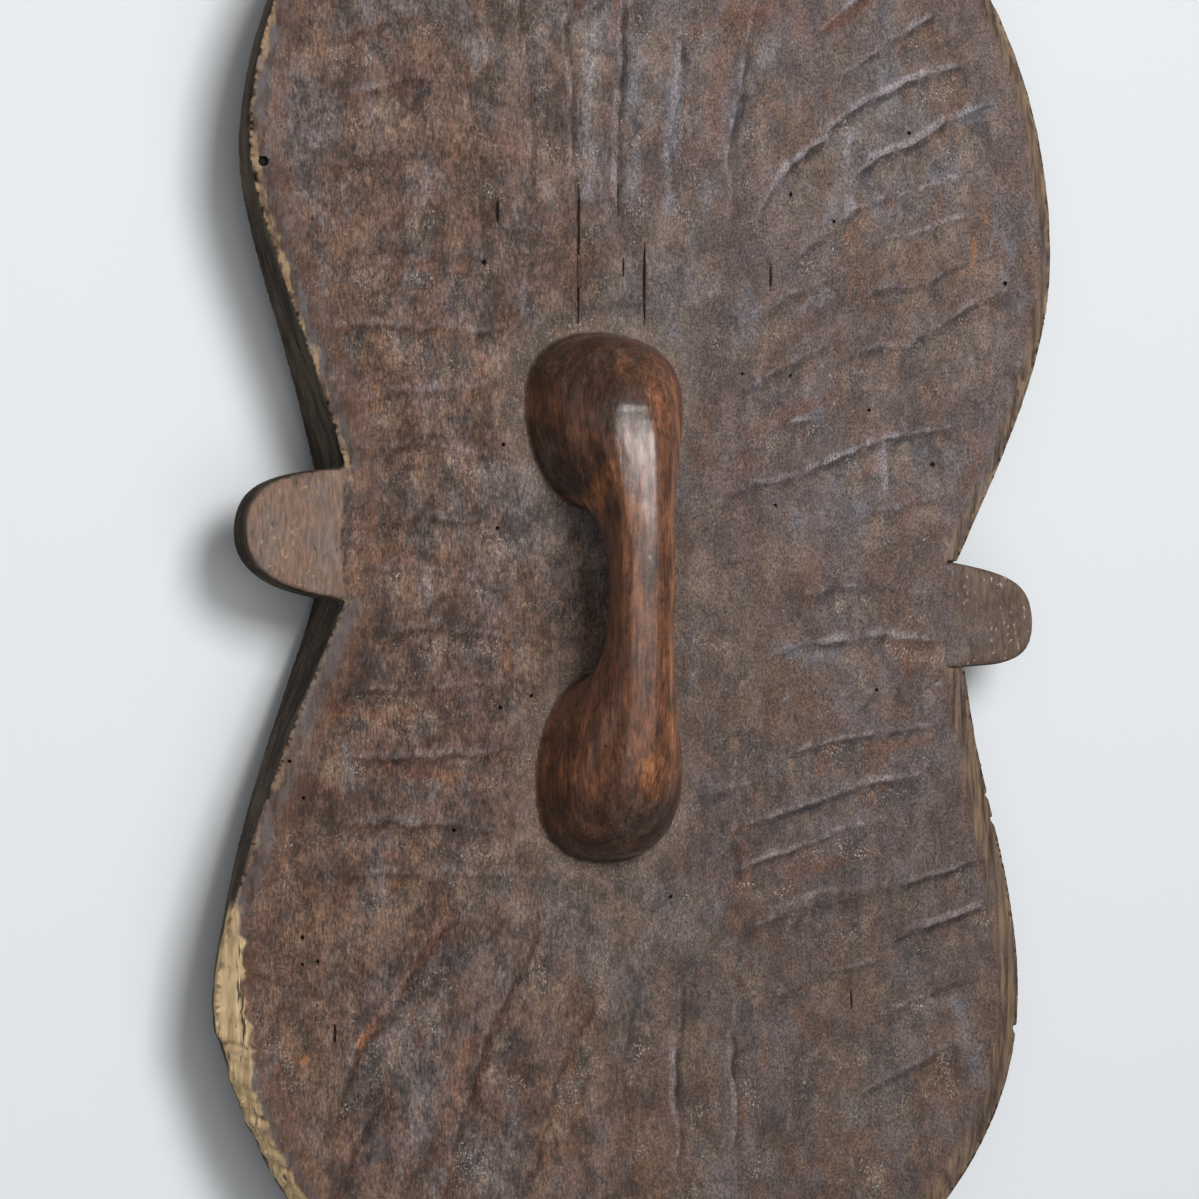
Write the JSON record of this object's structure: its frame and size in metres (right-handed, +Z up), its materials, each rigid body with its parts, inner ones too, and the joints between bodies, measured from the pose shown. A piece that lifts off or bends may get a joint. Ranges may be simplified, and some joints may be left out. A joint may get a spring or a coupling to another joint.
{
  "type": "carved wooden shield",
  "caption": "Waisted, two-lobed hand shield carved from one block of wood, with a tab at each side of the waist and an integral grip on its back.",
  "frame": {"origin": "middle of the outline, on the floor under the flat spot of the front, with the shield lying on its front", "axes": "+Z up, out of the back on the side of the grip; +Y along the length, towards the longer lobe; +X across, towards the lower of the two tabs"},
  "size_m": [0.386, 0.681, 0.1012],
  "materials": {
    "shield_wood": "old, dry, adze-marked brown wood with dust in its hollows; hand-polished reddish brown on the grip"
  },
  "bodies": {
    "root": {"shield": "shield_wood"}
  },
  "joints": []
}
